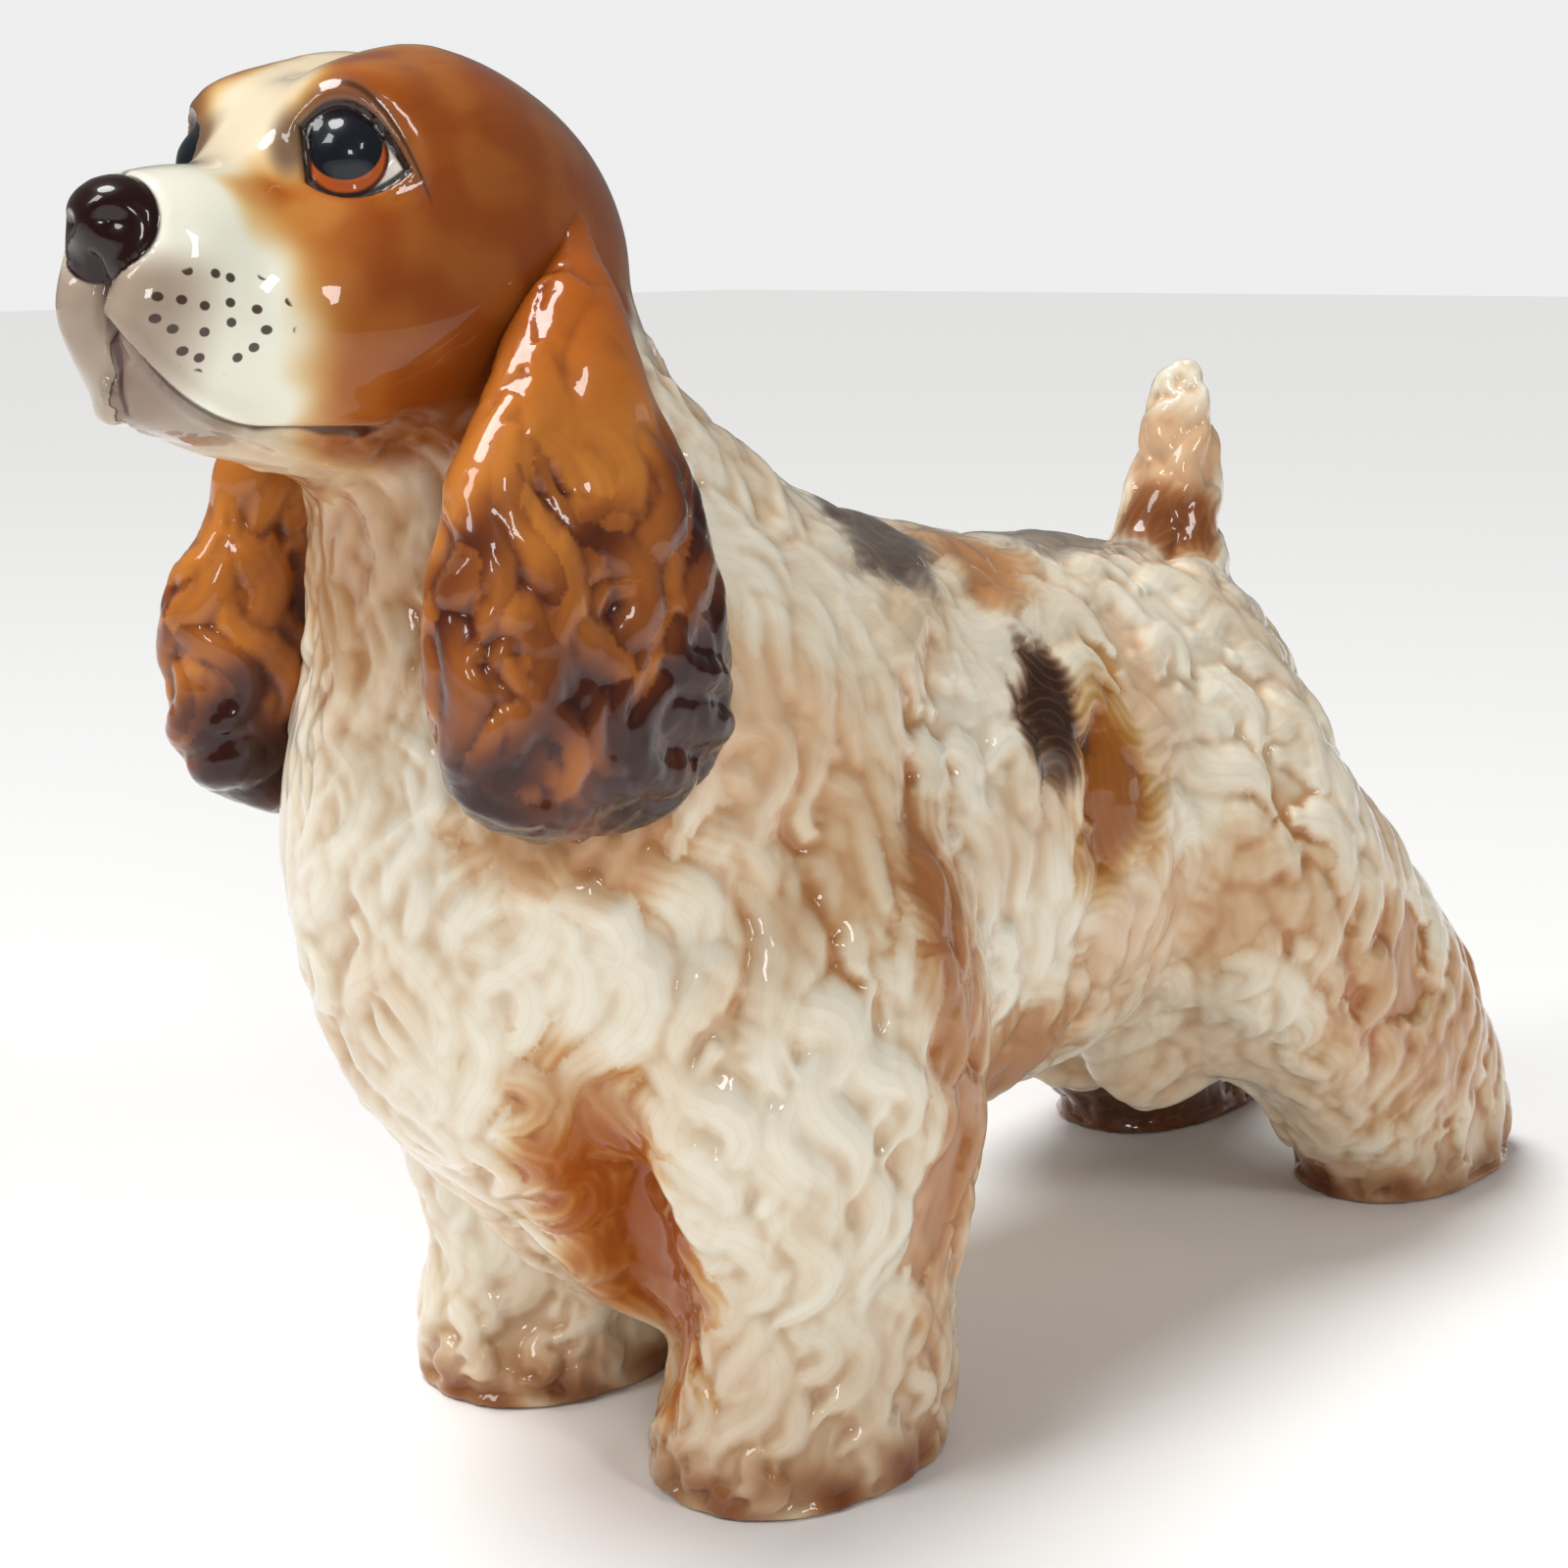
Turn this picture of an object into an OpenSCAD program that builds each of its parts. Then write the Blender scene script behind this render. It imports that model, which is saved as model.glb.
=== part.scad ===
// Ceramic dog figurine: a standing spaniel with long ears and a raised tail.
// It is slip-cast in nine hollow or solid sections, which are luted together
// along their seams before the firing.  The muzzle points along -Y, the dog's
// left is +X, and the soles stand on Z = 0.

/* [Size] */
// Height from the soles to the top of the head, mm
height = 190; // [95:5:285]
// Wall of the hollow castings, mm on a 190 mm figurine
wall = 3.5; // [2.5:0.5:4.5]
// Radius of the vent hole in the belly, mm on a 190 mm figurine
vent_r = 3; // [2:0.5:4]

/* [Head] */
// Turn of the head towards the dog's left, degrees
head_turn = 11.6; // [-15:0.1:15]
// Lift of the muzzle, degrees
head_lift = 4.6; // [0:0.1:10]
// Lean of the head, degrees
head_lean = 1.6; // [-4:0.1:4]

/* [Ears and tail] */
// How much lower the right ear hangs than the left, mm on a 190 mm figurine
right_ear_drop = 6; // [0:0.5:8]
// How much further back the right ear hangs than the left, mm on a 190 mm figurine
right_ear_back = 6; // [0:0.5:8]
// Lean of the tail from upright, degrees towards the rear
tail_lean = 9; // [0:1:20]

/* [Detail] */
// Points round each section of a casting
ring_points = 32; // [24:4:36]
// Sections between two stations of a casting
ring_steps = 2; // [1:1:3]

/* [Hidden] */

k = height / 190;
far = 400;

cream = [0.93, 0.89, 0.80];
rust = [0.72, 0.38, 0.14];
brown = [0.45, 0.23, 0.09];

// A station is one section of a casting, in the 190 mm size:
// [x of its middle, y and z of its rear or upper end,
//  y and z of its front or lower end, half its width along X]

// Torso and neck, from the rump to the throat
torso = [
    [0,   97,  92,   97, 85,  5],
    [0,   94,  98,   95, 75, 14],
    [0,   87, 106,   89, 63, 21],
    [0,   74, 114,   75, 52, 27],
    [0,   54, 118,   53, 41, 31],
    [0,   32, 121,   26, 34, 33],
    [0,   14, 123,   -8, 32, 34],
    [0,    4, 125,  -44, 32, 35],
    [0,   -2, 126,  -78, 42, 36],
    [0,   -9, 128,  -92, 62, 36],
    [0,  -19, 131,  -97, 84, 34],
    [0,  -31, 137,  -95, 104, 30],
    [0,  -41, 144,  -93, 121, 25],
    [0,  -48, 153,  -93, 137, 22],
    [0,  -54, 162,  -93, 150, 18]
];

// Left foreleg, from the sole to the shoulder
foreleg = [
    [25,  -19,  -2,  -62,  -2, 16],
    [25,  -18,   3,  -65,   3, 18],
    [25,  -17,  10,  -65,  10, 18],
    [25,  -18,  18,  -62,  18, 16.5],
    [25,  -17,  28,  -62,  28, 16.5],
    [25,  -14,  42,  -67,  42, 18.5],
    [24,  -12,  58,  -73,  58, 19],
    [22,   -9,  76,  -76,  76, 18],
    [18,   -9,  94,  -72,  94, 15],
    [15,  -16, 106,  -62, 106, 10]
];

// Left hind leg, from the sole to the hip
hindleg = [
    [27,  139,  -2,   94,  -2, 15],
    [27,  141,   3,   91,   3, 16.5],
    [27,  141,  10,   85,  10, 16.5],
    [27,  138,  18,   79,  18, 16],
    [27,  133,  28,   69,  28, 16.5],
    [26,  122,  42,   54,  40, 17.5],
    [25,  107,  58,   42,  56, 18],
    [22,   92,  76,   36,  76, 17.5],
    [17,   84,  92,   36,  94, 14.5],
    [14,   76, 102,   44, 104, 10]
];

// Head, from the back of the skull to the lips: Y is level with the muzzle
// and Z is square to it, both measured from the point between the eyes
skull = [
    [0,  54,  -8,  50, -24,  7],
    [0,  52,   0,  48, -31, 14],
    [0,  47,   6,  43, -36, 18.5],
    [0,  40,  11,  36, -38, 21.5],
    [0,  30, 14.5, 27, -38, 23.5],
    [0,  19,  16,  19, -38, 24],
    [0,   8,  13.5,  10, -37, 22.5],
    [0,   0,   9,   3, -36, 19.5],
    [0,  -5,   3.5, -3, -36, 16.5],
    [0, -10,  -1,  -9, -35, 13.5],
    [0, -17,  -2, -16, -34, 12.5],
    [0, -22,  -3, -21, -32, 11],
    [0, -25,  -5, -24, -30,  9],
    [0, -27, -10, -26, -25,  5.5]
];
eye_mid = [0, -101.6, 175.5];
nose_at = [0, -25.5, -9];
nose_size = [12.5, 10, 10.5];

// Left ear, from its tip to its root
ear = [
    [30,  -76,  98,  -90,  98, 2.5],
    [31,  -69, 101,  -97, 101, 5],
    [31.5, -65, 106, -102, 106, 6.5],
    [31.5, -63, 114, -105, 114, 7],
    [31,  -64, 126, -105, 126, 7],
    [29,  -65, 137, -100, 137, 6.5],
    [26,  -67, 146,  -93, 146, 6],
    [22,  -69, 155,  -87, 155, 5],
    [20,  -73, 162,  -82, 161, 3]
];

// Tail, upright, from inside the rump to its tip, with Z along the tail
tail_stations = [
    [0,  12, -12, -12, -12, 11],
    [0,  11,   0, -12,   0, 10.5],
    [0,  10,   8,  -9,   8, 9],
    [0,   8,  18,  -7,  18, 7.5],
    [0,   7,  27,  -6,  27, 6.5],
    [0, 4.5,  32,  -4,  32, 4.5],
    [0,   2,  34,  -2,  34, 2]
];
tail_root = [0, 76, 112];

// The middle of the length, behind the origin of the stations
middle_y = 4.5;

// Seams: a point on each plane, and the direction of the piece that it cuts off
neck_seam = [[0, -75, 143], [0, -0.25, 1]];
middle_seam = [[0, 0, 0], [1, 0, 0]];
fore_seams = [middle_seam, [[0, 0, 31], [0.9, 0, -1]], [[0, -9, 34], [0, -1, -0.15]]];
hind_seams = [middle_seam, [[0, 0, 34], [1.3, 0, -1]], [[0, 38, 40], [0, 1, 0.35]]];

// The vent is in the middle of the belly, from the air below it up into the hollow
vent_y = 16;
vent_from = 25;
vent_deep = 25;

// Roundness of the sections: 2 is an ellipse, and more is squarer
torso_square = 2.2;
leg_square = 2.3;
skull_square = 2.25;
ear_square = 2.8;

function blend(a, b, c, d, t) =
    0.5 * (2 * b + (c - a) * t + (2 * a - 5 * b + 4 * c - d) * t * t
    + (3 * b - 3 * c + d - a) * t * t * t);

// Stations with ring_steps smooth sections from each one to the next
function smooth_run(s) = let (n = len(s) - 1) [
    for (i = [0:n - 1], j = [0:ring_steps - 1])
        blend(s[max(i - 1, 0)], s[i], s[i + 1], s[min(i + 2, n)], j / ring_steps),
    s[n]
];

function signed_pow(v, e) = sign(v) * pow(abs(v), e);

function ring(s, square) = [
    for (i = [0:ring_points - 1])
        let (a = 360 * i / ring_points, e = 2 / square, v = signed_pow(sin(a), e))
        [
            s[0] + s[5] * signed_pow(cos(a), e),
            (s[1] + s[3] + v * (s[1] - s[3])) / 2,
            (s[2] + s[4] + v * (s[2] - s[4])) / 2
        ]
];

// A station drawn in by the wall all round
function inset(s) = let (
    d = norm([s[1] - s[3], s[2] - s[4]]), y = (s[1] - s[3]) / d, z = (s[2] - s[4]) / d
) [s[0], s[1] - wall * y, s[2] - wall * z, s[3] + wall * y, s[4] + wall * z, s[5] - wall];

// The stations of a hollow: those from first to last, drawn in
function hollow(s, first, last) = [for (i = [first:last]) inset(s[i])];

// A closed skin over a run of stations
module loft(stations, square) {
    rings = [for (s = smooth_run(stations)) ring(s, square)];
    n = len(rings);
    sides = [
        for (i = [0:n - 2], j = [0:ring_points - 1])
            let (a = i * ring_points, b = a + ring_points, m = (j + 1) % ring_points)
            each [[a + j, b + j, b + m], [a + j, b + m, a + m]]
    ];
    first = [for (j = [0:ring_points - 1]) j];
    last = [for (j = [ring_points - 1:-1:0]) (n - 1) * ring_points + j];
    polyhedron([for (r = rings) each r], concat(sides, [first, last]));
}

// Everything on the far side of a seam, where its direction points
module beyond(seam) {
    d = seam[1] / norm(seam[1]);
    translate(seam[0])
        rotate([0, acos(d[2]), atan2(d[1], d[0])])
            translate([-far, -far, 0]) cube([2 * far, 2 * far, far]);
}

module wedge(seams) intersection() {
    beyond(seams[0]);
    beyond(seams[1]);
    beyond(seams[2]);
}

// Skins and hollows joined as one mesh, at the figurine's size and over its origin
module casting() scale(k) translate([0, -middle_y, 0]) resize([0, 0, 0]) children();

module both_sides() {
    children();
    mirror([1, 0, 0]) children();
}

module on_head() translate(eye_mid) rotate([-head_lift, -head_lean, head_turn]) children();

module torso_skin() loft(torso, torso_square);
module torso_hollow() loft(hollow(torso, 1, len(torso) - 1), torso_square);

// The whole dog below the head, outside and inside, before it is cut at the seams
module trunk_skin() {
    torso_skin();
    both_sides() {
        loft(foreleg, leg_square);
        loft(hindleg, leg_square);
    }
}

module trunk_hollow() {
    torso_hollow();
    both_sides() {
        loft(hollow(foreleg, 2, len(foreleg) - 1), leg_square);
        loft(hollow(hindleg, 2, len(hindleg) - 1), leg_square);
    }
}

module head_skin() on_head() {
    loft(skull, skull_square);
    translate(nose_at) resize(nose_size) sphere(r = 1, $fn = 24);
}

module head_hollow() {
    on_head() loft(hollow(skull, 1, len(skull) - 3), skull_square);
    torso_hollow();
}

module ear_skin() loft(ear, ear_square);

module tail_place() translate(tail_root) rotate([-tail_lean, 0, 0]) children();

// The sole is cut last, so that it is one true flat
module leg(seams) difference() {
    casting() difference() {
        intersection() {
            trunk_skin();
            wedge(seams);
        }
        trunk_hollow();
    }
    translate([-far / 2, -far / 2, -far]) cube([far, far, far]);
}

module body_shell() color(cream) difference() {
    casting() difference() {
        trunk_skin();
        trunk_hollow();
        beyond(neck_seam);
        both_sides() {
            wedge(fore_seams);
            wedge(hind_seams);
        }
    }
    translate([0, vent_y, vent_from] * k) cylinder(r = vent_r * k, h = vent_deep * k, $fn = 32);
}

module head_shell() color(rust) casting() difference() {
    intersection() {
        union() {
            head_skin();
            torso_skin();
        }
        beyond(neck_seam);
    }
    head_hollow();
}

module left_ear() color(brown) casting() difference() {
    ear_skin();
    head_skin();
    torso_skin();
}

module right_ear() color(brown) casting() difference() {
    translate([0, right_ear_back, -right_ear_drop]) mirror([1, 0, 0]) ear_skin();
    head_skin();
    torso_skin();
}

module left_foreleg() color(cream) leg(fore_seams);
module right_foreleg() color(cream) mirror([1, 0, 0]) leg(fore_seams);
module left_hindleg() color(cream) leg(hind_seams);
module right_hindleg() color(cream) mirror([1, 0, 0]) leg(hind_seams);

module tail() color(rust) casting() difference() {
    tail_place() loft(tail_stations, 2);
    torso_skin();
}

body_shell();
head_shell();
left_ear();
right_ear();
left_foreleg();
right_foreleg();
left_hindleg();
right_hindleg();
tail();
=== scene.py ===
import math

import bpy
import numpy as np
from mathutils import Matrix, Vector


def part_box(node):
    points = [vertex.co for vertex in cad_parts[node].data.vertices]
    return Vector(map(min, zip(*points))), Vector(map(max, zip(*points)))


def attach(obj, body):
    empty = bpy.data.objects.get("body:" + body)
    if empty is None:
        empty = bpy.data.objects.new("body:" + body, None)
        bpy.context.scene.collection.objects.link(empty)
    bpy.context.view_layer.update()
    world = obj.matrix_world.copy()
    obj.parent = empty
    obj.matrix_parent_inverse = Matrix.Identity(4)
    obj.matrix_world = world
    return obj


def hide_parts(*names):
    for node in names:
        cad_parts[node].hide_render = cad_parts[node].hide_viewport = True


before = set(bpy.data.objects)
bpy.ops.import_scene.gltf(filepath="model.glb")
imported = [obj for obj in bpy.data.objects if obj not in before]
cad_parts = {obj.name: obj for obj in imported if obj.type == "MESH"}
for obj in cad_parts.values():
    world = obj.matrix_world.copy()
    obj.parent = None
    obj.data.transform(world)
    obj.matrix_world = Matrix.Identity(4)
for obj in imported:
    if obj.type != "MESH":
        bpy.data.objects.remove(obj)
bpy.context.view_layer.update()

# Glazed porcelain figurine of a standing spaniel.  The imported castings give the
# plain form.  This script softens them into one skin, sculpts the face, carves
# the coat lock by lock, cuts the skin into its pieces again and paints them.
# Lengths are millimetres until a mesh is made.  +X is the dog's left, -Y its
# front, and +Z is up.

import openvdb
from mathutils import Euler, Matrix, Vector
from mathutils.bvhtree import BVHTree

MM = 0.001
VOXEL = 1.0
BAND = 8

TRUNK = [
    "body_shell", "head_shell", "left_foreleg", "right_foreleg",
    "left_hindleg", "right_hindleg", "tail",
]

# The head's own frame: left, forward and up from the point between the eyes
EYE_MID = np.array([0, -106.1, 175.5])
HEAD_TURN = Euler([math.radians(a) for a in (-4.6, -1.6, 11.6)]).to_matrix()
HEAD_AXES = np.array([HEAD_TURN.col[0], -HEAD_TURN.col[1], HEAD_TURN.col[2]])


def unit(v):
    v = np.asarray(v, float)
    return v / np.maximum(np.linalg.norm(v, axis=-1, keepdims=True), 1e-9)


def smooth_step(low, high, v):
    t = np.clip((v - low) / (high - low), 0, 1)
    return t * t * (3 - 2 * t)


def on_head(points):
    return (points - EYE_MID) @ HEAD_AXES.T


# ---------------------------------------------------------------- distance fields


class Grid:
    """A block of voxels round a box, which holds signed distances."""

    def __init__(self, low, high, voxel):
        self.low = np.asarray(low, float)
        self.voxel = voxel
        self.shape = tuple(np.ceil((np.asarray(high) - low) / voxel).astype(int) + 1)
        self.transform = openvdb.createLinearTransform(voxelSize=voxel)

    def distance(self, points, **faces):
        level = openvdb.FloatGrid.createLevelSetFromPolygons(
            (points - self.low).astype(np.float32),
            transform=self.transform, halfWidth=BAND, **faces)
        values = np.empty(self.shape, np.float32)
        level.copyToArray(values)
        return values

    def surface(self, values):
        level = openvdb.FloatGrid(BAND * self.voxel)
        level.copyFromArray(values.astype(np.float32))
        level.transform = self.transform
        points, quads = level.convertToQuads(isovalue=0.0)
        return points + self.low, quads

    def axis(self, n):
        values = self.low[n] + self.voxel * np.arange(self.shape[n])
        return values.reshape([-1 if a == n else 1 for a in range(3)])


def filled(values):
    """The field with every hollow that is enclosed on all six sides made solid."""
    solid = values < 0
    inside = np.ones_like(solid)
    for axis in range(3):
        for way in (solid, np.flip(solid, axis)):
            seen = np.maximum.accumulate(way, axis=axis)
            inside &= seen if way is solid else np.flip(seen, axis)
    return np.where(inside & ~solid, values.min(), values)


def blur(values, sigma):
    """A Gaussian blur, sigma in voxels."""
    reach = math.ceil(2.5 * sigma)
    steps = np.arange(-reach, reach + 1)
    weights = np.exp(-0.5 * (steps / sigma) ** 2)
    weights /= weights.sum()
    for axis in range(3):
        edge = [(reach, reach) if a == axis else (0, 0) for a in range(3)]
        wide = np.moveaxis(np.pad(values, edge, mode="edge"), axis, 0)
        total = sum(
            w * wide[i:i + values.shape[axis]] for i, w in enumerate(weights))
        values = np.moveaxis(total, 0, axis)
    return values


def join(a, b, fillet):
    h = np.maximum(fillet - np.abs(a - b), 0) / fillet
    return np.minimum(a, b) - h * h * fillet / 4


def carve(a, b, fillet):
    return -join(-a, b, fillet)


def ellipsoid(p, centre, radii):
    q = (p - centre) / radii
    k0 = np.linalg.norm(q, axis=-1)
    k1 = np.linalg.norm(q / radii, axis=-1)
    return k0 * (k0 - 1) / np.maximum(k1, 1e-6)


def rod(p, a, b, radius_a, radius_b):
    a, b = np.array(a), np.array(b)
    along = np.clip((p - a) @ (b - a) / ((b - a) @ (b - a)), 0, 1)
    away = np.linalg.norm(p - a - along[..., None] * (b - a), axis=-1)
    return away - radius_a - along * (radius_b - radius_a)


def node_mesh(name):
    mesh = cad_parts[name].data
    mesh.calc_loop_triangles()
    points = np.empty(len(mesh.vertices) * 3, np.float32)
    mesh.vertices.foreach_get("co", points)
    faces = np.empty(len(mesh.loop_triangles) * 3, np.int32)
    mesh.loop_triangles.foreach_get("vertices", faces)
    return points.reshape(-1, 3) / MM, faces.reshape(-1, 3).astype(np.uint32)


def casting_field(names, closing, soften):
    """The outer form of some castings as one, without their hollows and vents."""
    corners = np.array([[list(c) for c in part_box(n)] for n in names]) / MM
    margin = BAND * VOXEL + 2
    grid = Grid(corners[:, 0].min(0) - margin, corners[:, 1].max(0) + margin, VOXEL)
    values = np.full(grid.shape, BAND * VOXEL, np.float32)
    for name in names:
        points, faces = node_mesh(name)
        values = np.minimum(values, grid.distance(points, triangles=faces))
    points, quads = grid.surface(filled(values - closing))
    values = grid.distance(points, quads=quads) + closing
    # Below the soles the legs run on, so that the softening keeps them flat
    sole = int(np.searchsorted(grid.axis(2).ravel(), 1.5))
    values[:, :, :sole] = values[:, :, sole:sole + 1]
    return grid, blur(values, soften / VOXEL)


# ---------------------------------------------------------------- the face

# The eye: its place, its outward axis, and the axes across and up its opening
EYE = np.array([12.1, 0, 0])
EYE_YAW = math.radians(38)
EYE_OUT = unit([math.sin(EYE_YAW), math.cos(EYE_YAW), 0.15])
EYE_ACROSS = np.array([math.cos(EYE_YAW), -math.sin(EYE_YAW), 0])
EYE_UP = np.cross(EYE_ACROSS, EYE_OUT) * -1
if EYE_UP[2] < 0:
    EYE_UP = -EYE_UP
EYE_AXES = np.array([EYE_ACROSS, EYE_UP, EYE_OUT])

# The lids as parabolas across the eye: height at the peak, curve, and the peak's
# offset.  The inner corner is a straight line: its place, and its slope.
UPPER_LID = (5.3, -0.13, 1.4)
LOWER_LID = (-5.3, 0.075, 0.5)
INNER_CORNER = -5.4
INNER_SLOPE = 0.12

# The mouth line: its lowest height, how fast it climbs under the nose, and how far
LIP_LOW = -31.6
LIP_CURVE = 0.022
LIP_RISE = 11.1
LIP_START = 3.0

NOSE = np.array([0, 26.2, -9.7])
NOSE_REACH = np.array([6.3, 5.2, 5.7])


def both_sides(h):
    return np.concatenate([np.abs(h[..., :1]), h[..., 1:]], axis=-1)


def in_eye(h):
    """Across, up and out of the eye, for points of the head's frame."""
    return (both_sides(h) - EYE) @ EYE_AXES.T


def sculpt_head(h, d):
    """The head's distance field with its brows, sockets, eyes, flews and nose."""
    m = both_sides(h)
    e = in_eye(h)
    d = join(d, ellipsoid(m, [9.0, -5, 4.6], [6, 8, 5.2]), 5)
    d = carve(d, ellipsoid(m, [0, -8, 16], [2.2, 14, 5]), 5)
    d = carve(d, ellipsoid(e, [-0.3, 0, 7.2], [10.2, 8.0, 7.4]), 3)
    d = join(d, ellipsoid(e, [-0.7, 0, -6.0], [6.8, 6.8, 8.9]), 0.8)
    d = join(d, ellipsoid(m, [4.4, 19.6, -18.0], [4.9, 9.2, 8.2]), 2)
    d = join(d, ellipsoid(h, [0, 18.5, -27.5], [6, 7.6, 5]), 2)
    d = join(d, ellipsoid(m, [13, 0, -20], [7.5, 13, 10]), 8)
    d = carve(d, ellipsoid(h, [0, 33.0, -18], [0.8, 3.4, 6]), 1.2)
    return d


def parabola(base, slope, offset, value):
    return base + slope * (value + offset) ** 2


def lid_gap(a, b):
    """How far outside the eye's opening a point is, across and up from its middle."""
    upper = b - parabola(*UPPER_LID, a)
    lower = parabola(*LOWER_LID, a) - b
    inner = INNER_CORNER - INNER_SLOPE * b - a
    return np.maximum(np.maximum(upper, lower), inner)


def lip_height(left, fwd):
    """The height of the mouth line, from under the nose round to its corner.

    The right lip hangs down over the middle, so its line runs low all the way.
    """
    rise = np.maximum(fwd - np.abs(left) - LIP_START, 0)
    line = np.minimum(LIP_CURVE * rise ** 2, LIP_RISE)
    return LIP_LOW + line * smooth_step(-1.5, 0.5, left)


def bump_at(gap, width):
    return np.exp(-(gap / width) ** 2)


def face_relief(h):
    """How far the face stands out from its plain form: lids, lips and nostrils."""
    m, e = both_sides(h), in_eye(h)
    left, fwd, up = m.T
    near_eye = bump_at(np.linalg.norm(e / [9, 8, 6], axis=1), 1.0)
    gap = lid_gap(e[:, 0], e[:, 1])
    relief = near_eye * (1.1 * bump_at(gap - 1.1, 0.9) - 1.0 * bump_at(gap, 0.55))
    lip = up - lip_height(h[:, 0], fwd)
    mouth = smooth_step(-2, 2, fwd)
    relief += mouth * (0.8 * bump_at(lip - 1.7, 1.5) - 1.3 * bump_at(lip, 0.7))
    relief -= 0.8 * smooth_step(8, 20, fwd) * (1 - smooth_step(-2.5, 0, lip))
    philtrum = smooth_step(22, 25, fwd) * smooth_step(-22, -20, up) * (1 - smooth_step(-14, -12, up))
    overlap = smooth_step(16, 20, fwd) * smooth_step(-31, -29, up) * (1 - smooth_step(-22, -20, up))
    relief -= 1.1 * philtrum * bump_at(left, 0.7) + 0.5 * overlap * bump_at(h[:, 0] - 0.3, 0.9)
    nostril = np.linalg.norm((m - [3.6, 30.4, -9.4]) / [1.7, 3, 1.2], axis=1)
    relief -= 1.6 * bump_at(nostril, 1.0)
    rim = np.linalg.norm((h - NOSE) / NOSE_REACH, axis=1)
    return relief - 0.5 * bump_at(rim - 1.12, 0.06)


def sculpt_trunk(p, d):
    """The coat's masses that the plain castings leave out."""
    m = both_sides(p)
    d = join(d, ellipsoid(m, [6, -52, 48], [13, 24, 30]), 10)
    d = join(d, ellipsoid(m, [26, -44, 56], [17, 24, 36]), 10)
    d = join(d, ellipsoid(m, [8, 62, 46], [14, 22, 26]), 12)
    d = carve(d, rod(m, (27, -92, 72), (20, -74, 44), 0.5, 3.5), 7)
    return carve(d, rod(m, (20, -74, 44), (12, -64, 14), 3.5, 4.5), 7)


# ---------------------------------------------------------------- meshes


def mean_at(index, values, size):
    """The mean of the values that share each index."""
    count = np.maximum(np.bincount(index, minlength=size), 1)
    return np.stack([np.bincount(index, v, size) / count for v in values.T], 1)


def subdivided(points, quads):
    """One level of Catmull-Clark, on a closed mesh."""
    size, sides = len(points), np.roll(quads, -1, axis=1)
    low, high = np.minimum(quads, sides), np.maximum(quads, sides)
    keys, edge_of = np.unique(low.astype(np.int64) * size + high, return_inverse=True)
    edge_of = edge_of.reshape(-1)
    edges = np.stack([keys // size, keys % size], 1)
    centres = points[quads].mean(1)
    spread = np.repeat(centres, 4, axis=0)
    middles = points[edges].mean(1)
    halves = (middles + mean_at(edge_of, spread, len(edges))) / 2
    valence = np.bincount(edges.ravel(), minlength=size)[:, None]
    around = mean_at(quads.ravel(), spread, size)
    along = mean_at(edges.ravel(), np.repeat(middles, 2, axis=0), size)
    moved = (around + 2 * along + (valence - 3) * points) / valence
    half = edge_of.reshape(-1, 4) + size
    hub = np.arange(len(quads)) + size + len(edges)
    fine = [np.stack([quads[:, i], half[:, i], hub, half[:, i - 1]], 1) for i in range(4)]
    return np.concatenate([moved, halves, centres]), np.concatenate(fine)


def relax(values, quads, rounds, share=0.5):
    """Values at vertices, drawn towards the mean of their neighbours."""
    ends = np.concatenate([quads[:, i] for i in range(4)])
    nexts = np.concatenate([quads[:, (i + 1) % 4] for i in range(4)])
    count = np.bincount(ends, minlength=len(values)).astype(float)
    count += np.bincount(nexts, minlength=len(values))
    columns = values.reshape(len(values), -1).astype(float).T.copy()
    for _ in range(rounds):
        for n, column in enumerate(columns):
            total = np.bincount(ends, column[nexts], len(values))
            total += np.bincount(nexts, column[ends], len(values))
            columns[n] = column + share * (total / count - column)
    return columns.T.reshape(values.shape)


def wobble(points, size, seed):
    """Smooth noise from about -1 to 1, with bumps of about that size."""
    draw = np.random.default_rng(seed)
    total = np.zeros(len(points))
    for _ in range(7):
        way = unit(draw.normal(size=3)) * 2 * math.pi / size * draw.uniform(0.6, 1.5)
        total += np.sin(points @ way + draw.uniform(0, 7))
    return total / 3.2


# ---------------------------------------------------------------- the coat

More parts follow.
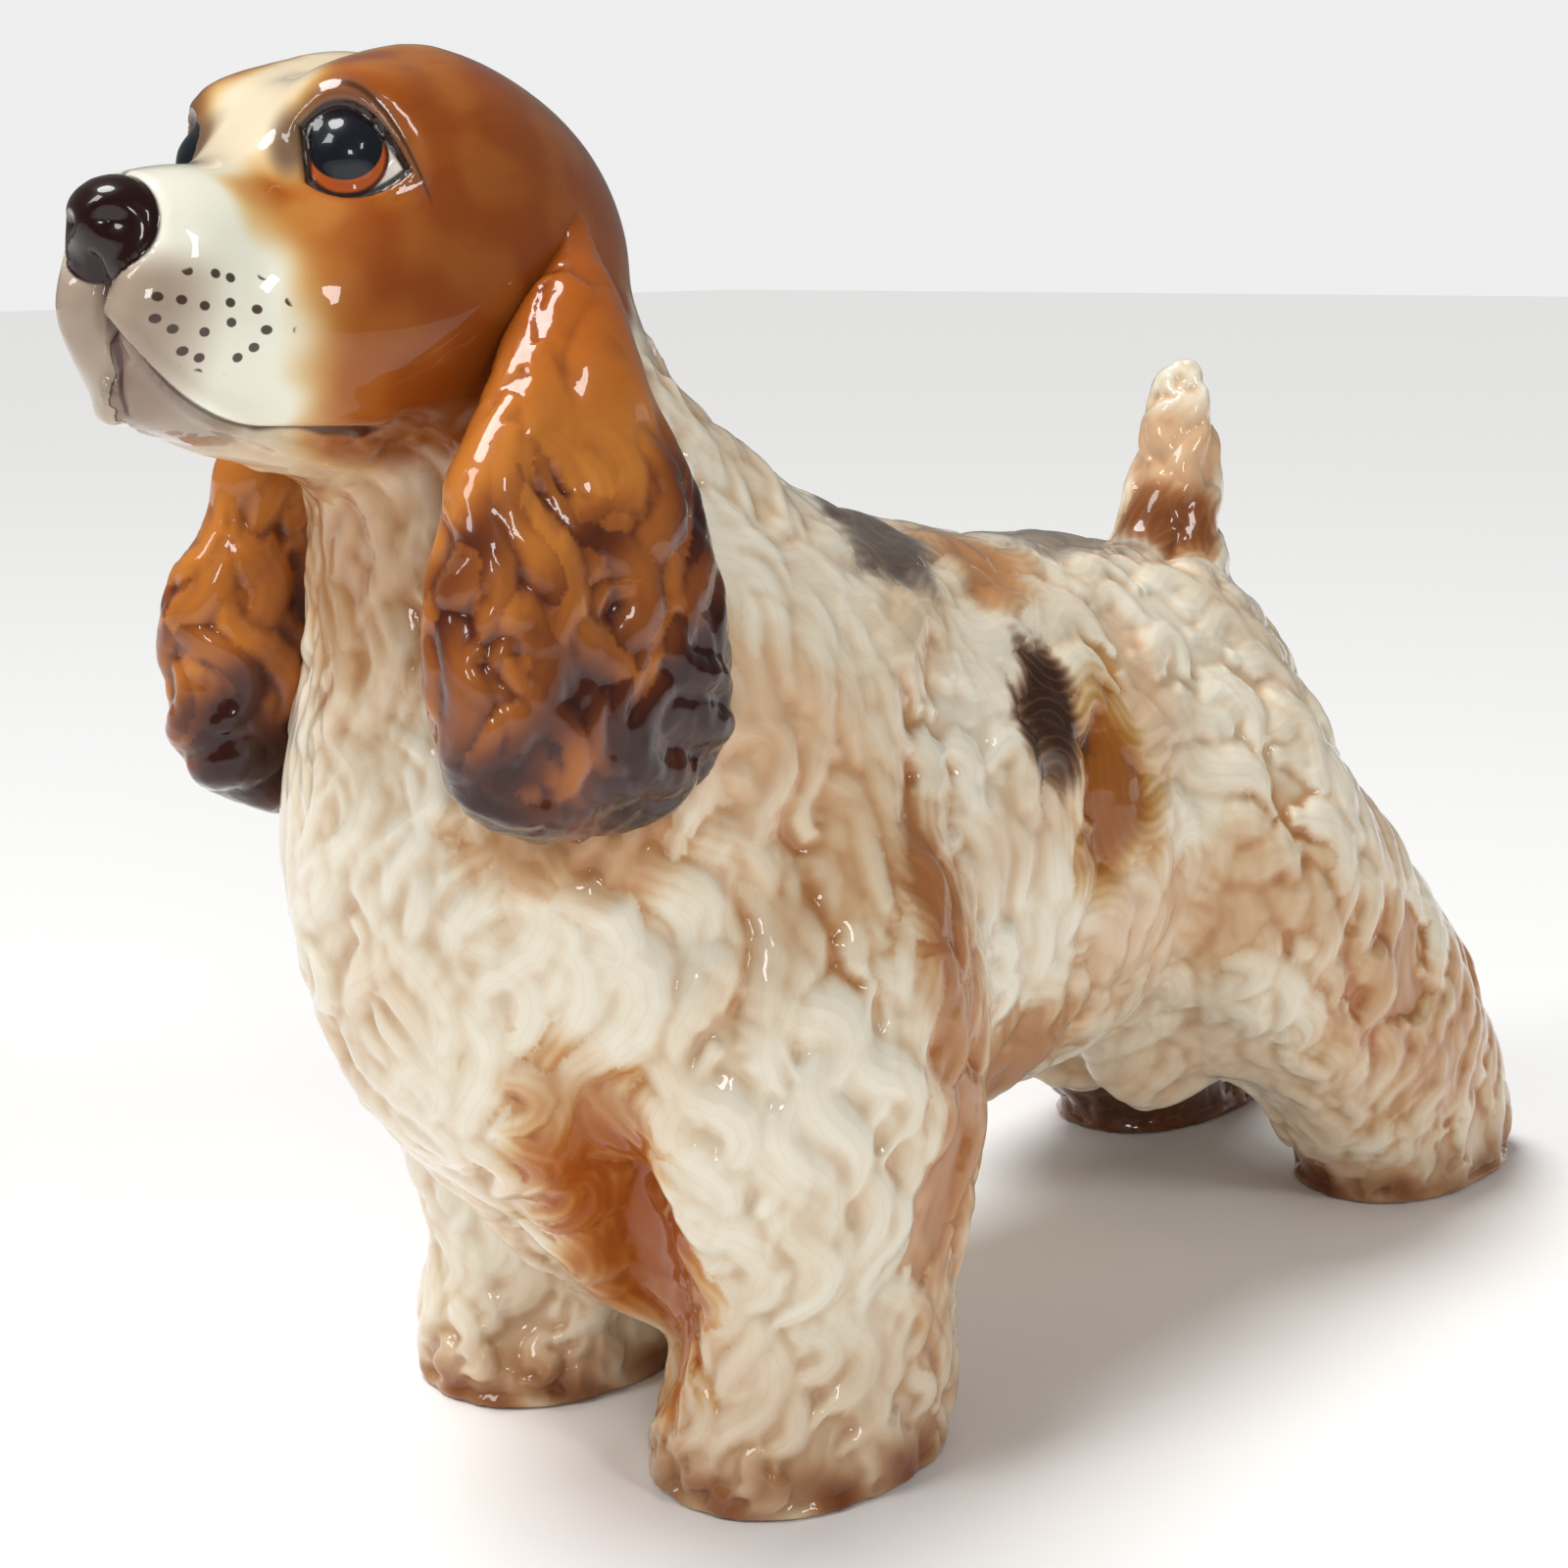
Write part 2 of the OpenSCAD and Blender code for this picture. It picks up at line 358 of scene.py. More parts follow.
# Where the coat lies: a place, the way its hair points, and the length, width
# and height of its locks there.  The right side mirrors the left.
COAT = [
    ((0, -40, 160), (0, 0.7, -0.7), 26, 5.5, 1.0),
    ((24, -62, 150), (0.1, 0.3, -1), 30, 5.0, 1.2),
    ((0, -96, 125), (0, 0.1, -1), 34, 4.6, 1.3),
    ((18, -92, 100), (0.15, 0.1, -1), 38, 4.8, 1.4),
    ((0, -100, 85), (0, 0.25, -1), 34, 5.0, 1.4),
    ((32, -75, 95), (0.1, 0.35, -1), 34, 5.4, 1.4),
    ((34, -50, 85), (0, 0.45, -0.9), 28, 6.0, 1.4),
    ((32, -40, 112), (0, 0.75, -0.65), 26, 6.2, 1.2),
    ((0, -20, 126), (0, 1, -0.05), 24, 6.0, 0.9),
    ((34, -10, 95), (0, 0.8, -0.6), 26, 6.5, 1.3),
    ((34, 15, 75), (0, 0.75, -0.65), 26, 6.8, 1.4),
    ((28, 10, 112), (0, 0.95, -0.3), 24, 6.2, 1.0),
    ((20, 45, 112), (0.1, 0.95, -0.3), 22, 6.0, 1.0),
    ((32, 50, 85), (0, 0.7, -0.7), 26, 6.8, 1.4),
    ((10, 88, 100), (0, 0.5, -0.9), 22, 6.0, 1.2),
    ((24, 85, 75), (0, 0.5, -0.85), 26, 6.5, 1.4),
    ((28, 60, 55), (0, 0.25, -1), 26, 6.0, 1.4),
    ((28, 105, 50), (0, 0.35, -1), 26, 5.8, 1.4),
    ((28, 80, 35), (0, 0.15, -1), 22, 4.8, 1.1),
    ((28, 128, 28), (0, 0.1, -1), 20, 4.6, 1.1),
    ((28, 115, 12), (0, 0, -1), 14, 3.2, 0.8),
    ((27, 90, 8), (0, -0.7, -0.6), 11, 2.8, 0.7),
    ((25, -12, 70), (0, 0.35, -1), 26, 5.4, 1.3),
    ((26, -45, 60), (0, 0.05, -1), 28, 5.2, 1.2),
    ((26, -70, 62), (0, 0.05, -1), 28, 4.8, 1.2),
    ((26, -22, 40), (0, 0.15, -1), 24, 4.8, 1.2),
    ((26, -62, 30), (0, -0.1, -1), 20, 4.2, 1.0),
    ((26, -40, 10), (0, -0.1, -1), 13, 3.0, 0.8),
    ((26, -66, 8), (0, -0.6, -0.7), 11, 2.8, 0.7),
    ((0, 10, 36), (0, 0.9, -0.3), 22, 5.5, 1.2),
    ((26, 15, 42), (0, 0.45, -0.9), 22, 5.6, 1.4),
    ((0, 72, 128), (0, 0.15, 1), 16, 3.6, 0.8),
    ((0, 76, 145), (0, 0.1, 1), 12, 3.0, 0.7),
]

# The same for the left ear
EAR_COAT = [
    ((30, -85, 160), (0.2, 0.1, -1), 24, 7.0, 0.7),
    ((38, -92, 140), (0.1, -0.1, -1), 34, 6.6, 1.9),
    ((38, -70, 140), (0.1, 0.25, -1), 34, 6.6, 1.9),
    ((38, -95, 115), (0, 0.0, -1), 32, 6.2, 2.3),
    ((38, -70, 112), (0, 0.1, -1), 32, 6.2, 2.3),
    ((36, -85, 98), (0, 0.0, -1), 24, 5.4, 2.0),
]


def coat_table(rows, mirror):
    rows = list(rows)
    if mirror:
        rows += [((-p[0], p[1], p[2]), (-d[0], d[1], d[2]), *rest)
                 for p, d, *rest in rows if p[0]]
    places = np.array([r[0] for r in rows], float)
    values = np.array([[*unit(r[1]), *r[2:]] for r in rows], float)
    return places, values


def coat_at(points, table, spread=9.0):
    """The coat's direction, length, width and height at some points."""
    total = np.zeros((len(points), 6))
    weights = np.zeros((len(points), 1))
    for place, values in zip(*table):
        weight = 1 / (((points - place) ** 2).sum(1) + spread ** 2)[:, None] ** 2.5
        total += weight * values
        weights += weight
    return total / weights


class Skin:
    """A skin to comb: its finest mesh, and a coarser one to trace locks over."""

    def __init__(self, points, quads, table):
        self.tree = BVHTree.FromPolygons(points.tolist(), quads.tolist())
        self.coat = coat_at(points[quads].mean(1), table)
        self.points, self.quads = subdivided(points, quads)
        self.normals = vertex_normals(self.points, self.quads)

    def trace(self, start, bend, phase, scale, steps=10):
        """A lock's path: it starts at a vertex and follows the coat in an S."""
        point, normal, face, _ = self.tree.find_nearest(Vector(self.points[start]))
        _, _, _, length, width, height = self.coat[face]
        path, outward = [point], [normal]
        for n in range(steps):
            way = Vector(self.coat[face][:3])
            way = (way - normal * way.dot(normal)).normalized()
            turn = bend * math.sin(2 * math.pi * (n + 0.5) / steps + phase)
            way = way * math.cos(turn) + normal.cross(way) * math.sin(turn)
            point, normal, face, _ = self.tree.find_nearest(point + way * (length * scale / steps))
            path.append(point)
            outward.append(normal)
        return np.array(path), np.array(outward), width, height


class Relief:
    """The relief of a skin's locks: height, and the place of each vertex in its lock."""

    CELL = 3.0

    def __init__(self, skin):
        self.skin = skin
        size = len(skin.points)
        self.height, self.across, self.tone = (np.zeros(size) for _ in range(3))
        self.origin = skin.points.min(0) - 3 * self.CELL
        cells = self.key(np.floor((skin.points - self.origin) / self.CELL).astype(int))
        self.order = np.argsort(cells, kind="stable")
        self.cells = cells[self.order]

    @staticmethod
    def key(cells):
        return (cells[..., 0] * 512 + cells[..., 1]) * 512 + cells[..., 2]

    def near(self, path, reach):
        wide = math.ceil(reach / self.CELL)
        ring = np.arange(-wide, wide + 1)
        around = np.stack(np.meshgrid(ring, ring, ring), -1).reshape(-1, 3)
        base = np.floor((path - self.origin) / self.CELL).astype(int)
        keys = np.unique(self.key((base[:, None] + around).reshape(-1, 3)))
        starts = np.searchsorted(self.cells, keys)
        stops = np.searchsorted(self.cells, keys, side="right")
        runs = [self.order[a:b] for a, b in zip(starts, stops) if b > a]
        return np.concatenate(runs)

    def add(self, path, outward, width, height, tone, lift):
        chosen = self.near(path, width / 2)
        p = self.skin.points[chosen]
        gaps = (p ** 2).sum(1)[:, None] - 2 * p @ path.T + (path ** 2).sum(1)
        best = gaps.argmin(1)
        close = gaps[np.arange(len(p)), best] < width ** 2
        chosen, p, best = chosen[close], p[close], best[close]
        tangent = np.gradient(path, axis=0)
        length = np.linalg.norm(tangent, axis=1)
        tangent /= np.maximum(length, 1e-6)[:, None]
        side = np.cross(outward, tangent)
        offset = p - path[best]
        ahead = (offset * tangent[best]).sum(1) / length[best]
        s = np.clip((best + np.clip(ahead, -1, 1)) / (len(path) - 1), 0, 1)
        across = (offset * side[best]).sum(1)
        half = 0.5 * width * np.sin(math.pi * np.clip(s, 0.02, 0.98) ** 0.85) ** 0.55
        u = across / half
        facing = (self.skin.normals[chosen] * outward[best]).sum(1) > 0.2
        ridge = 1 - u * u
        swell = np.sin(math.pi * s ** 1.25) ** 0.7
        value = lift + height * ridge * (0.3 + 0.7 * swell)
        take = (np.abs(u) < 1) & (np.abs(ahead) < 1.2) & facing & (value > self.height[chosen])
        into = chosen[take]
        self.height[into] = value[take]
        self.across[into] = across[take]
        self.tone[into] = tone


def comb(skin, wanted, spacing, bend, seed, size):
    """Cuts seeded locks all over a skin, about one for each spacing squared."""
    draw = np.random.default_rng(seed)
    relief = Relief(skin)
    chosen = draw.permutation(np.flatnonzero(wanted > 0.3))
    area = len(chosen) * (VOXEL / 2) ** 2
    starts = chosen[: int(area / spacing ** 2)]
    phases = wobble(skin.points[starts], 40, seed + 1) * 2.0
    for start, phase in zip(starts, phases):
        scale = draw.uniform(0.75, 1.2)
        path, outward, width, height = skin.trace(
            start, bend * draw.uniform(0.6, 1.3), phase + draw.uniform(-0.6, 0.6),
            scale * min(size, 1.0))
        relief.add(path, outward, width * size * scale, height * size * draw.uniform(0.75, 1.1),
                   draw.uniform(), draw.uniform(0, 0.6) * size)
    return relief


# ---------------------------------------------------------------- colours


def srgb(*levels):
    """A colour given in display levels from 0 to 255, as linear light."""
    c = np.array(levels) / 255
    return np.where(c <= 0.04045, c / 12.92, ((c + 0.055) / 1.055) ** 2.4)


CREAM = srgb(240, 233, 214)
BEIGE = srgb(186, 144, 104)
PEACH = srgb(214, 172, 132)
TAN = srgb(172, 110, 62)
GOLD = srgb(198, 122, 48)
AMBER = srgb(192, 112, 34)
OCHRE = srgb(146, 80, 20)
RUST = srgb(160, 74, 16)
BROWN = srgb(112, 56, 24)
UMBER = srgb(52, 28, 16)
SLATE = srgb(86, 74, 66)
MUZZLE = srgb(240, 238, 220)
FLEW = srgb(160, 140, 122)
CHOCOLATE = srgb(44, 12, 6)

# Airbrushed patches of the coat, and some patches of painted shade and shadow: middle,
# reach along X, Y and Z, colour, strength, and how far the pigment keeps to the creases
PATCHES = [
    ((20, -21, 125), (12, 13, 8), SLATE, 0.9, 0.0),
    ((18, 2, 119), (12, 12, 8), TAN, 0.7, 0.0),
    ((4, 36, 119), (9, 34, 4), SLATE, 0.45, 0.0),
    ((32, 13, 87), (14, 12.5, 18), OCHRE, 1.0, 0.1),
    ((31, 1, 99), (14, 7.0, 12.5), UMBER, 1.15, 0.0),
    ((30, 26, 98), (12, 8, 13), PEACH, 0.6, 0.2),
    ((37, 46, 66), (14, 20, 14), TAN, 0.8, 0.7),
    ((43, 77, 44), (12, 20, 15), TAN, 0.95, 0.5),
    ((40, 102, 26), (14, 26, 16), TAN, 0.9, 0.6),
    ((30, 118, 45), (18, 12, 22), TAN, 1.0, 0.4),
    ((30, 22, 60), (14, 16, 18), PEACH, 0.8, 0.5),
    ((24, -4, 46), (22, 22, 13), TAN, 0.9, 0.2),
    ((42, -34, 60), (7, 9, 50), TAN, 0.95, 0.2),
    ((40, -36, 84), (10, 6, 16), BROWN, 0.55, 0.6),
    ((34, -48, 88), (12, 22, 22), TAN, 0.8, 0.8),
    ((20, -80, 38), (9, 15, 30), RUST, 1.0, 0.15),
    ((22, -84, 60), (8, 12, 12), TAN, 0.6, 0.4),
    ((16, -68, 30), (13, 16, 22), RUST, 0.85, 0.1),
    ((34, -66, 106), (14, 24, 13), PEACH, 0.8, 0.4),
    # Painted shadow on the chest under the left ear, in tan
    ((28, -86, 94), (18, 14, 8), TAN, 0.75, 0.3),
    # Tan on the throat, deepened as painted shade in the recess under the head
    ((-2, -102, 130), (22, 14, 18), TAN, 0.65, 0.5),
    ((26, -76, 118), (12, 12, 26), TAN, 0.6, 0.3),
    ((4, 68, 120), (11, 9, 8), BROWN, 0.8, 0.0),
    ((0, 74, 131), (14, 14, 8), PEACH, 0.95, 0.0),
    # Painted shade on the lower right hind leg, the far side, in dark brown
    ((-20, 98, 12), (24, 44, 24), UMBER, 0.6, 0.0),
    ((-20, -18, 124), (14, 20, 10), SLATE, 0.8, 0.0),
    ((-33, 8, 94), (14, 18, 22), OCHRE, 0.9, 0.1),
    ((-33, -8, 99), (14, 9, 14), UMBER, 0.9, 0.0),
    ((-37, 50, 62), (14, 26, 20), TAN, 0.8, 0.6),
    ((-41, 95, 36), (13, 30, 20), TAN, 0.8, 0.5),
    ((-42, -34, 60), (8, 9, 48), TAN, 0.8, 0.2),
    ((-34, -66, 106), (14, 24, 15), PEACH, 0.9, 0.3),
]


def blend_in(colours, weight, colour):
    """A pigment laid over others: they multiply, as in a glaze."""
    weight = np.clip(weight, 0, 1)[:, None]
    return colours ** (1 - weight) * np.asarray(colour) ** weight


def coat_colours(points, dips, streaks):
    """The coat: cream with peach mist, laid thicker lower down as painted shade, beige in its hollows that
    is partly airbrushed tint and partly painted shade, and the patches over it.
    """
    mist = 0.5 + 0.5 * wobble(points, 38, 61)
    # More peach mist lower down: painted shade, as if the light came from above
    lower = 1 - smooth_step(20, 110, points[:, 2])
    colours = np.tile(CREAM, (len(points), 1))
    colours = blend_in(colours, 0.3 * smooth_step(0.4, 1.1, mist + 0.3 * lower), PEACH)
    # Beige in the hollows: partly the airbrushed tint of the grooves, partly painted shade
    colours = blend_in(colours, dips * (0.25 + 0.5 * mist), BEIGE)
    for n, (middle, reach, colour, strength, creases) in enumerate(PATCHES):
        away = np.linalg.norm((points - middle) / reach, axis=1)
        away += 0.12 * wobble(points, 9, 100 + n) + streaks - 0.12 * dips
        weight = strength * (1 - smooth_step(0.4, 1.2, away))
        colours = blend_in(colours, weight * (1 - creases * (1 - dips)), colour)
    toes = (1 - smooth_step(1, 13, points[:, 2])) * (0.45 + 0.3 * wobble(points, 11, 91))
    return blend_in(colours, toes, BROWN)


def head_colours(h):
    """The head's airbrushed ground: rust, a cream blaze and a pale muzzle."""
    left, fwd, up = np.abs(h[:, 0]), h[:, 1], h[:, 2]
    noise = wobble(h, 9, 31)
    strokes = wobble(h * [1, 0.35, 0.6], 5, 33)
    colours = np.tile(AMBER, (len(h), 1))
    colours = blend_in(colours, 0.9 * smooth_step(-0.7, 0.9, 0.6 * noise + strokes), RUST)
    under_eye = np.linalg.norm((both_sides(h) - [13, 9, -10]) / [9, 8, 8], axis=1)
    colours = blend_in(colours, 0.35 * (1 - smooth_step(0.4, 1.2, under_eye)), PEACH)
    back = smooth_step(4, 30, left - fwd * 0.35 - up * 0.2)
    colours = blend_in(colours, 0.45 * back, BROWN)
    blaze = 1 - smooth_step(3.0, 9.5, left + 1.3 * strokes - 0.05 * np.clip(fwd + 20, -40, 40))
    blaze *= smooth_step(-34, -14, fwd)
    colours = blend_in(colours, blaze, srgb(238, 220, 188))
    edge = fwd + 1.6 * noise + 0.8 * strokes - 0.2 * np.maximum(left - 8, 0)
    snout = smooth_step(5.5, 14.5, edge - 0.25 * (up + 17))
    colours = blend_in(colours, snout, MUZZLE)
    front = smooth_step(19, 27, fwd + 0.1 * (up + 20)) * (1 - smooth_step(-16, -11, up))
    colours = blend_in(colours, 0.9 * front, FLEW)
    throat = 1 - smooth_step(-36, -30, up)
    return blend_in(colours, 0.6 * throat * smooth_step(-5, 10, fwd), BEIGE)


# ---------------------------------------------------------------- node helpers


class Nodes:
    """Builds a material's nodes from short calls."""

    def __init__(self, name):
        self.material = bpy.data.materials.new(name)
        self.material.use_nodes = True
        self.tree = self.material.node_tree
        self.shader = self.tree.nodes["Principled BSDF"]

    def put(self, target, value):
        if isinstance(value, bpy.types.NodeSocket):
            self.tree.links.new(value, target)
        elif isinstance(value, (int, float)):
            target.default_value = value
        else:
            value = [float(v) for v in value]
            target.default_value = value + [1.0] * (len(target.default_value) - len(value))

    def node(self, kind, inputs=None, **settings):
        node = self.tree.nodes.new(kind)
        for key, value in settings.items():
            setattr(node, key, value)
        for key, value in (inputs or {}).items():
            self.put(node.inputs[key], value)
        return node

    def math(self, operation, a, b=0.0, clamp=False):
        return self.node("ShaderNodeMath", {0: a, 1: b}, operation=operation,
                         use_clamp=clamp).outputs[0]

    def step(self, low, high, value):
        node = self.node("ShaderNodeMapRange", {"Value": value, "From Min": low, "From Max": high},
                         interpolation_type="SMOOTHSTEP")
        return node.outputs["Result"]

    def mix(self, share, a, b):
        node = self.node("ShaderNodeMix", {"Factor": share}, data_type="RGBA")
        self.put(node.inputs[6], a)
        self.put(node.inputs[7], b)
        return node.outputs[2]

    def attribute(self, name, output="Fac"):
        return self.node("ShaderNodeAttribute", attribute_name=name).outputs[output]

    def noise(self, vector, scale, detail=2.0):
        node = self.node("ShaderNodeTexNoise", {"Vector": vector, "Scale": scale, "Detail": detail})
        return node.outputs["Fac"]

    def glaze(self, colour, bump, roughness=0.3, coat=1.0, coat_roughness=0.05):
        self.put(self.shader.inputs["Base Color"], colour)
        self.put(self.shader.inputs["Normal"], bump)
        self.put(self.shader.inputs["Roughness"], roughness)
        self.put(self.shader.inputs["Specular IOR Level"], 0.1)
        self.put(self.shader.inputs["Coat Weight"], coat)
        self.put(self.shader.inputs["Coat Roughness"], coat_roughness)
        self.put(self.shader.inputs["Coat IOR"], 1.4)


# How deep the brush lines of the hair look, as a share of their full bump
COAT_HAIR = 0.08
EAR_HAIR = 0.15

# Brush lines across a lock: radians for each millimetre, and the shift between locks
LINE_PITCH = 3.6
LINE_SHIFT = 9


def hair_and_ripple(n, depth):
    """Fine brush lines along each lock, and the faint ripple of a glaze."""
    place = n.node("ShaderNodeTexCoord").outputs["Object"]
    across = n.attribute("across")
    tone = n.attribute("tone")
    turns = n.math("MULTIPLY", across, LINE_PITCH)
    shift = n.math("MULTIPLY", tone, LINE_SHIFT)
    lines = n.math("SINE", n.math("ADD", turns, shift))
    lines = n.math("MULTIPLY", lines, n.attribute("furry"))
    ripple = n.noise(place, 260)
    first = n.node("ShaderNodeBump", {"Height": lines, "Strength": depth, "Distance": 0.0002})
    second = n.node("ShaderNodeBump", {"Height": ripple, "Strength": 0.12, "Distance": 0.0004,
                                       "Normal": first.outputs["Normal"]})
    return place, lines, second.outputs["Normal"]


def coat_material():
    n = Nodes("coat_glaze")
    place, lines, normal = hair_and_ripple(n, COAT_HAIR)
    paint = n.attribute("paint", "Color")
    mottle = n.noise(place, 90, 4)
    shade = n.math("ADD", 0.93, n.math("MULTIPLY", mottle, 0.14))
    paint = n.mix(n.math("MULTIPLY", n.step(0.5, 1.0, lines), 0.07), paint, BEIGE)
    colour = n.node("ShaderNodeVectorMath", {0: paint}, operation="SCALE")
    n.put(colour.inputs["Scale"], shade)
    n.glaze(colour.outputs[0], normal)
    return n.material


def band(n, value, middle, half, soft):
    """1 where a value is within half of the middle, and 0 past the soft edge."""
    away = n.math("ABSOLUTE", n.math("SUBTRACT", value, middle))
    return n.math("SUBTRACT", 1.0, n.step(half, half + soft, away))


def inside(n, vector, middle, reach, edge, soft):
    """1 inside an ellipsoid, scaled by edge, and 0 past its soft edge."""
    offset = n.node("ShaderNodeVectorMath", {0: vector, 1: middle}, operation="SUBTRACT").outputs[0]
    scaled = n.node("ShaderNodeVectorMath", {0: offset, 1: reach}, operation="DIVIDE").outputs[0]
    size = n.node("ShaderNodeVectorMath", {0: scaled}, operation="LENGTH").outputs["Value"]
    return n.math("SUBTRACT", 1.0, n.step(edge, edge + soft, size))


def both(n, *masks):
    product = masks[0]
    for mask in masks[1:]:
        product = n.math("MULTIPLY", product, mask)
    return product


def curve(n, base, slope, offset, value):
    """base + slope * (value + offset) squared."""
    shifted = n.math("ADD", value, offset)
    return n.math("ADD", base, n.math("MULTIPLY", slope, n.math("MULTIPLY", shifted, shifted)))


def paint_eye(n, paint, m):
    """An eye with its iris, lids, lashes and creases, painted on both sides at once."""
    offset = n.node("ShaderNodeVectorMath", {0: m, 1: EYE}, operation="SUBTRACT").outputs[0]
    a, b, out = (n.node("ShaderNodeVectorMath", {0: offset, 1: axis},
                        operation="DOT_PRODUCT").outputs["Value"] for axis in EYE_AXES)
    e = n.node("ShaderNodeCombineXYZ", {0: a, 1: b, 2: out}).outputs[0]
    upper = n.math("SUBTRACT", b, curve(n, *UPPER_LID, a))
    lower = n.math("SUBTRACT", curve(n, *LOWER_LID, a), b)
    slant = n.math("MULTIPLY", INNER_SLOPE, b)
    inner = n.math("SUBTRACT", n.math("SUBTRACT", INNER_CORNER, slant), a)
    gap = n.math("MAXIMUM", n.math("MAXIMUM", upper, lower), inner)
    near = inside(n, e, (0, 0, 0), (11, 10, 8), 0.85, 0.2)
    # Painted shade round the eye, strongest above it under the brow, over the brown of the lids
    shade = both(n, near, n.math("SUBTRACT", 1.0, n.step(1.5, 5.5, gap)), n.step(-6.0, -1.0, b))
    paint = n.mix(n.math("MULTIPLY", shade, 0.75), paint, srgb(112, 78, 56))
    corner = inside(n, e, (-7.6, 1.0, 0), (2.6, 5.5, 8), 0.3, 0.8)
    paint = n.mix(n.math("MULTIPLY", corner, 0.75), paint, srgb(104, 76, 56))
    crease = both(n, near, band(n, upper, 2.4, 0.15, 0.55), n.step(-3.5, 0.0, a))
    paint = n.mix(n.math("MULTIPLY", crease, 0.8), paint, srgb(70, 40, 26))
    opening = both(n, near, n.math("SUBTRACT", 1.0, n.step(-0.1, 0.1, gap)))
    paint = n.mix(opening, paint, srgb(226, 216, 206))
    iris = both(n, opening, inside(n, e, (-0.9, -0.5, 0), (4.9, 4.8, 30), 0.97, 0.06))
    paint = n.mix(iris, paint, srgb(88, 36, 14))
    glow = both(n, opening, inside(n, e, (-0.9, -0.5, 0), (4.9, 4.8, 30), 0.86, 0.08))
    paint = n.mix(glow, paint, srgb(186, 88, 34))
    disc = both(n, opening, inside(n, e, (-1.0, 0.7, 0), (4.3, 4.2, 30), 0.97, 0.05))
    paint = n.mix(disc, paint, srgb(16, 22, 32))
    lid = both(n, opening, n.step(-1.5, -0.6, upper))
    paint = n.mix(n.math("MULTIPLY", lid, 0.9), paint, srgb(30, 18, 14))
    thick = n.math("ADD", 0.30, n.math("MULTIPLY", 0.05, n.math("MAXIMUM", n.math("ADD", a, 2.0), 0.0)))
    line = n.math("SUBTRACT", 1.0, n.step(0.0, 0.35, n.math("SUBTRACT", n.math("ABSOLUTE", gap), thick)))
    return n.mix(n.math("MULTIPLY", both(n, near, line), 0.92), paint, srgb(34, 24, 22))


def paint_muzzle(n, paint, m, side, left, fwd, up):
    """The nose, the line under it, the mouth and the whisker spots."""
    start = n.math("SUBTRACT", n.math("SUBTRACT", fwd, left), LIP_START)
    rise = n.math("MAXIMUM", start, 0.0)
    line = n.math("MINIMUM", curve(n, 0.0, LIP_CURVE, 0.0, rise), LIP_RISE)
    line = n.math("MULTIPLY", line, n.step(-1.5, 0.5, side))
    lip = n.math("SUBTRACT", n.math("ADD", up, -LIP_LOW), line)
    lower = both(n, n.math("SUBTRACT", 1.0, n.step(-0.6, 0.0, lip)), n.step(9.0, 17.0, fwd))
    paint = n.mix(n.math("MULTIPLY", lower, 0.8), paint, srgb(140, 116, 104))
    corner = n.math("MULTIPLY", 0.6, band(n, fwd, 3.0, 1.0, 4.0))
    mouth = n.math("SUBTRACT", 1.0, n.step(0.0, 0.4, n.math(
        "SUBTRACT", n.math("ABSOLUTE", lip), n.math("ADD", 0.18, corner))))
    paint = n.mix(n.math("MULTIPLY", both(n, mouth, n.step(-2.0, 0.0, fwd)), 0.85), paint,
                  srgb(66, 36, 28))
    middle = both(n, band(n, side, 0.3, 0.2, 0.4), n.step(18.0, 20.0, fwd), n.step(-31.0, -30.0, up),
                  n.math("SUBTRACT", 1.0, n.step(-22.0, -20.0, up)))
    paint = n.mix(n.math("MULTIPLY", middle, 0.8), paint, srgb(66, 40, 34))
    split = both(n, band(n, left, 0.0, 0.2, 0.5), n.step(22.0, 24.0, fwd), n.step(-22.0, -20.0, up))
    paint = n.mix(n.math("MULTIPLY", split, 0.8), paint, srgb(60, 34, 28))
    flat = n.node("ShaderNodeCombineXYZ", {0: fwd, 1: up, 2: 0.0}).outputs[0]
    spots = n.node("ShaderNodeTexVoronoi", {"Vector": flat, "Scale": 0.38, "Randomness": 0.55},
                   voronoi_dimensions="2D")
    spot = n.math("SUBTRACT", 1.0, n.step(0.17, 0.22, spots.outputs["Distance"]))
    cheek = inside(n, m, (11, 20.5, -19.5), (9, 8.5, 6.2), 0.92, 0.05)
    paint = n.mix(n.math("MULTIPLY", both(n, spot, cheek), 0.95), paint, srgb(62, 38, 30))
    nose = inside(n, m, NOSE, NOSE_REACH, 1.10, 0.06)
    return n.mix(nose, paint, srgb(32, 5, 5))


def head_material():
    n = Nodes("head_glaze")
    _, _, normal = hair_and_ripple(n, COAT_HAIR)
    paint = n.attribute("paint", "Color")
    head = n.node("ShaderNodeSeparateXYZ", {0: n.attribute("head", "Vector")}).outputs
    left = n.math("ABSOLUTE", head[0])
    m = n.node("ShaderNodeCombineXYZ", {0: left, 1: head[1], 2: head[2]}).outputs[0]
    brushed = n.node("ShaderNodeVectorMath", {0: m, 1: (0.5, 0.12, 0.22)}, operation="MULTIPLY").outputs[0]
    stroke = n.step(0.45, 0.75, n.noise(brushed, 1.0, 4))
    ground = n.math("SUBTRACT", 1.0, n.step(2.0, 8.0, head[1]))
    paint = n.mix(both(n, stroke, ground, n.step(8.0, 14.0, left), 0.45), paint, srgb(136, 60, 12))
    paint = paint_muzzle(n, paint, m, head[0], left, head[1], head[2])
    paint = paint_eye(n, paint, m)
    n.glaze(paint, normal, coat_roughness=0.03)
    return n.material


def ear_material():
    n = Nodes("ear_glaze")
    _, _, normal = hair_and_ripple(n, EAR_HAIR)
    n.glaze(n.attribute("paint", "Color"), normal, coat_roughness=0.04)
    return n.material


# ---------------------------------------------------------------- pieces


# How far under the skin each cut is closed, in millimetres
WEB_DEPTH = 2.5


